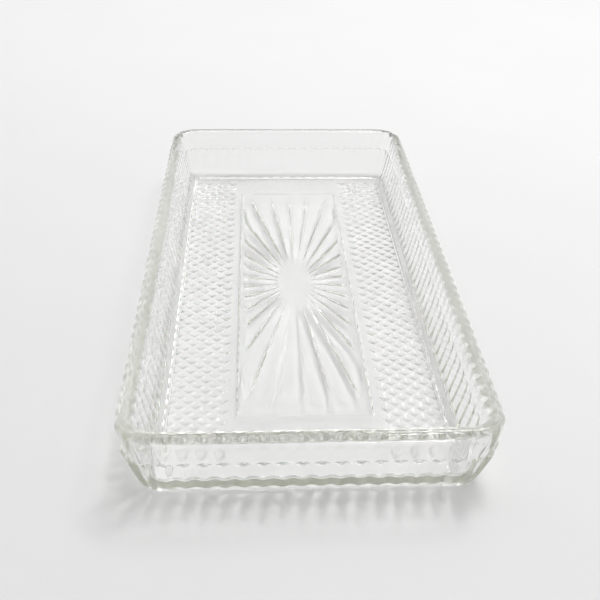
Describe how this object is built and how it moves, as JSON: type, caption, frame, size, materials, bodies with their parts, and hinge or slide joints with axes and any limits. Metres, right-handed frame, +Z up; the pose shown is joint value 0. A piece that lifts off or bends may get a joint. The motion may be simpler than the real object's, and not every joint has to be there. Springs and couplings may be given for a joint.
{
  "type": "butter dish",
  "caption": "Oblong open tray of clear pressed glass with ribbed leaning walls, a rounded rim and an underside moulded with a sunburst and diamond points; holds butter.",
  "frame": {"origin": "on the table plane, under the middle of the dish", "axes": "+Z up out of the open top, +Y along the dish's length, +X across its width"},
  "size_m": [0.092, 0.19, 0.0213],
  "materials": {
    "clear_glass": "clear pressed glass, fire-polished, with a faint yellow-green tint where it is thick"
  },
  "bodies": {
    "root": {"dish": "clear_glass"}
  },
  "joints": []
}
